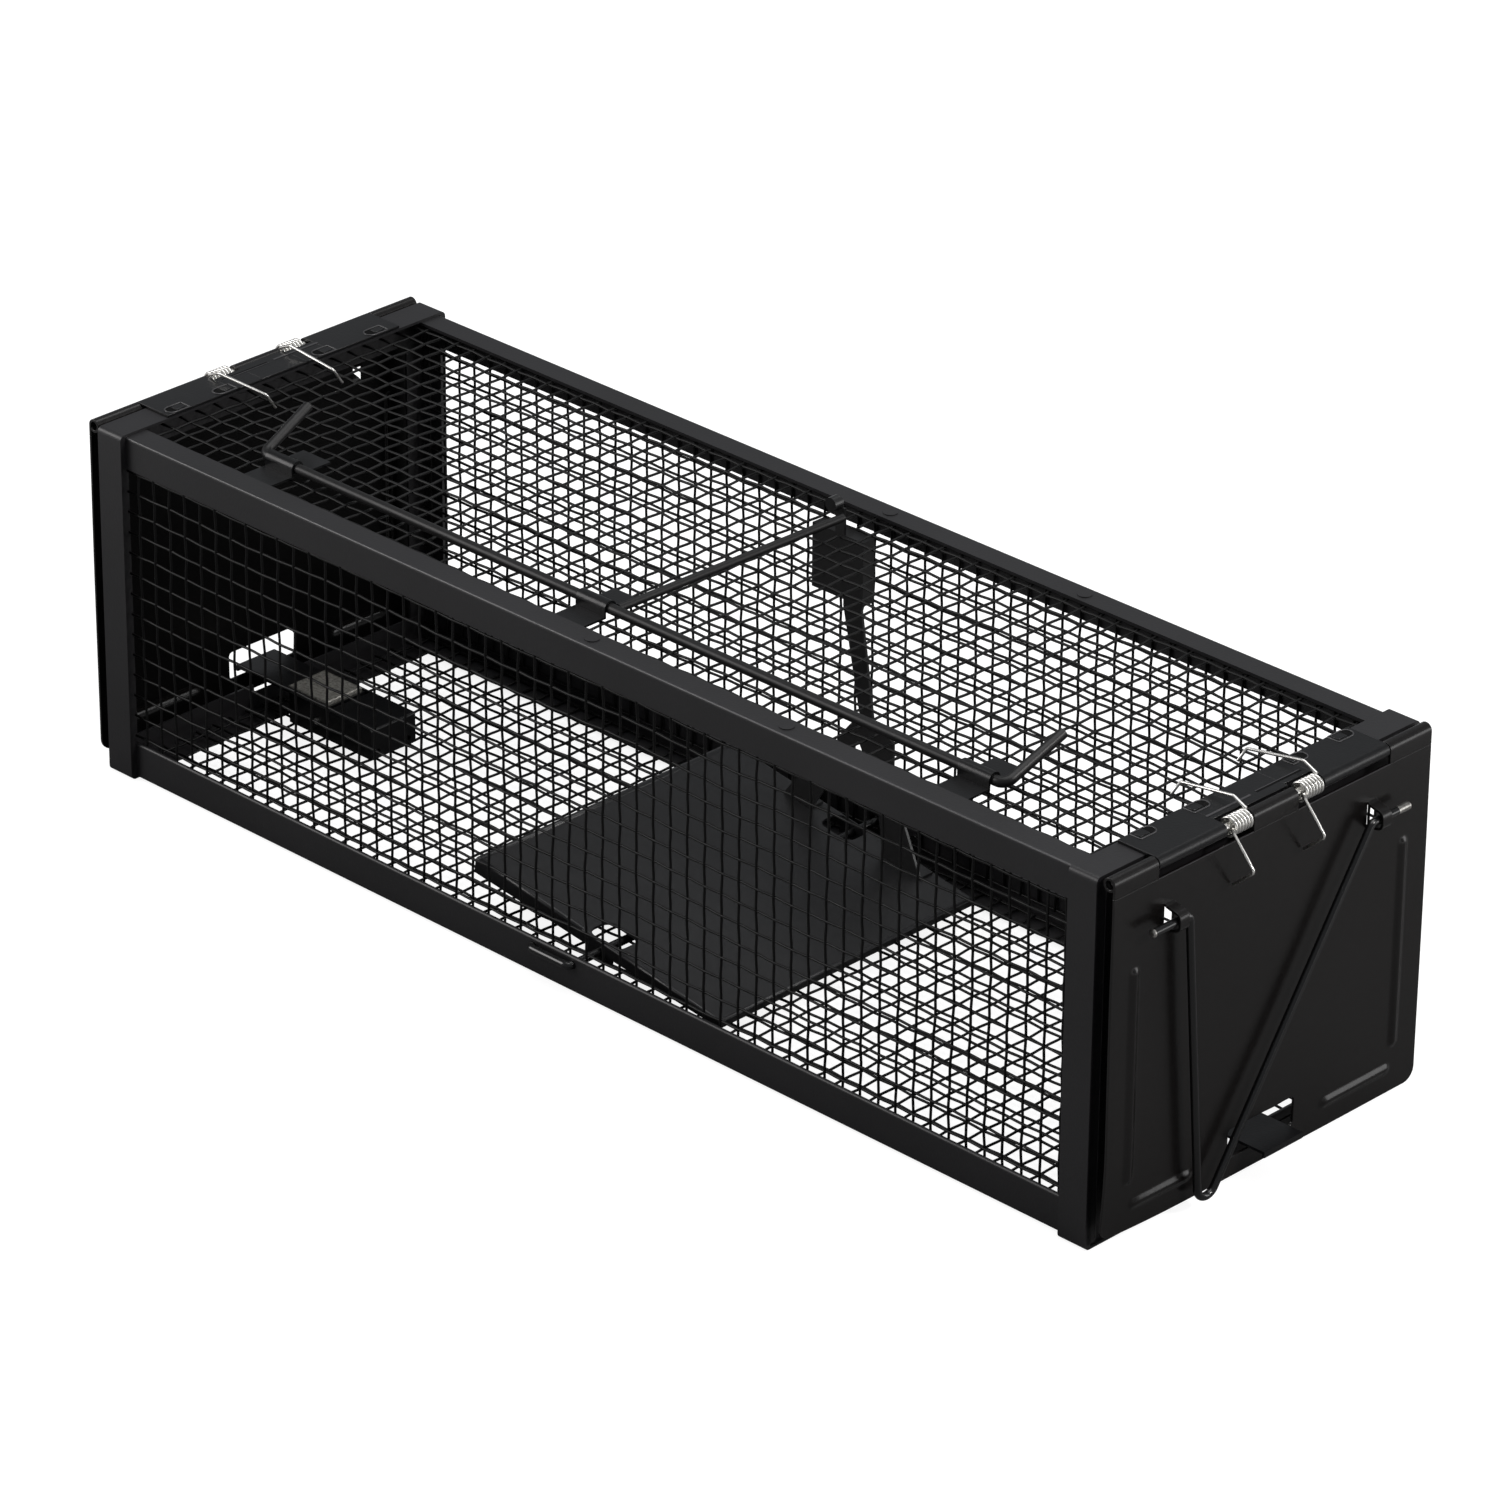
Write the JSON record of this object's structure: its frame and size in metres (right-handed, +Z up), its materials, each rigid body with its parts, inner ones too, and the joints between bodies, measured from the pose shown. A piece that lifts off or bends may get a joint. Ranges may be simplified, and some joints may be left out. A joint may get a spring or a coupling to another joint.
{
  "type": "live catch trap",
  "caption": "Two-door wire mesh cage trap with sprung end doors, V-wire door props, trigger rod, treadle and gravity latches.",
  "frame": {"origin": "middle of the footprint, on the ground", "axes": "+X along the cage to the right-hand door, +Y across it to the side with the trigger lever, +Z up"},
  "size_m": [0.5052, 0.1576, 0.147],
  "materials": {
    "rail_coat": "satin black powder coat",
    "mesh_coat": "satin black powder coat on welded wire",
    "door_coat": "semi-gloss black powder coat",
    "wire_coat": "gloss black paint",
    "pedal_coat": "semi-gloss black powder coat",
    "latch_coat": "satin black powder coat",
    "zinc": "bright zinc plate"
  },
  "bodies": {
    "cage": {"near_top_rail": "rail_coat", "far_top_rail": "rail_coat", "near_bottom_rail": "rail_coat", "far_bottom_rail": "rail_coat", "left_end_frame": "rail_coat", "right_end_frame": "rail_coat", "rail_weld_dimples": "rail_coat", "near_side_mesh": "mesh_coat", "far_side_mesh": "mesh_coat", "top_mesh": "mesh_coat", "bottom_mesh": "mesh_coat", "left_hinge_leaf": "door_coat", "right_hinge_leaf": "door_coat", "left_rod_clip": "wire_coat", "centre_rod_clip": "wire_coat", "right_rod_clip": "wire_coat", "pedal_pivot_rod": "wire_coat", "left_latch_bracket": "latch_coat", "right_latch_bracket": "latch_coat", "left_hinge_pin": "zinc", "right_hinge_pin": "zinc", "left_near_spring": "zinc", "left_far_spring": "zinc", "right_near_spring": "zinc", "right_far_spring": "zinc", "left_latch_pin": "zinc", "right_latch_pin": "zinc"},
    "left_door": {"left_door": "door_coat"},
    "right_door": {"right_door": "door_coat"},
    "left_v_wire": {"left_v_wire": "wire_coat"},
    "right_v_wire": {"right_v_wire": "wire_coat"},
    "left_latch": {"left_latch": "latch_coat", "left_latch_weight": "zinc"},
    "right_latch": {"right_latch": "latch_coat", "right_latch_weight": "zinc"},
    "pedal": {"pedal_plate": "pedal_coat", "trigger_lever": "pedal_coat", "lever_rivets": "pedal_coat"},
    "trigger": {"trigger_rod": "wire_coat", "cross_rod": "wire_coat"}
  },
  "joints": [
    {"name": "left_door_hinge", "type": "hinge", "parent": "cage", "child": "left_door", "pos_m": [-0.2398, 0, 0.1335], "axis": [0, 1, 0], "range_deg": [0, 95], "stiffness_Nm_per_rad": 0.08, "springref_deg": -34.38, "deforming": ["left_near_spring", "left_far_spring"]},
    {"name": "left_v_wire_hinge", "type": "hinge", "parent": "left_door", "child": "left_v_wire", "pos_m": [-0.24675, 0, 0.114], "axis": [0, 1, 0], "range_deg": [0, 168]},
    {"name": "left_latch_pivot", "type": "hinge", "parent": "cage", "child": "left_latch", "pos_m": [-0.199, 0, 0.009], "axis": [0, 1, 0], "range_deg": [0, 9]},
    {"name": "right_door_hinge", "type": "hinge", "parent": "cage", "child": "right_door", "pos_m": [0.2398, 0, 0.1335], "axis": [0, -1, 0], "range_deg": [0, 95], "stiffness_Nm_per_rad": 0.08, "springref_deg": -34.38, "deforming": ["right_near_spring", "right_far_spring"]},
    {"name": "right_v_wire_hinge", "type": "hinge", "parent": "right_door", "child": "right_v_wire", "pos_m": [0.24675, 0, 0.114], "axis": [0, -1, 0], "range_deg": [0, 168]},
    {"name": "right_latch_pivot", "type": "hinge", "parent": "cage", "child": "right_latch", "pos_m": [0.199, 0, 0.009], "axis": [0, -1, 0], "range_deg": [0, 9]},
    {"name": "pedal_pivot", "type": "hinge", "parent": "cage", "child": "pedal", "pos_m": [-0.001, 0, 0.011], "axis": [0, 1, 0], "range_deg": [-3.3, 0]},
    {"name": "trigger_rod_turn", "type": "hinge", "parent": "cage", "child": "trigger", "pos_m": [0, -0.053, 0.136], "axis": [1, 0, 0], "range_deg": [0, 75]}
  ]
}
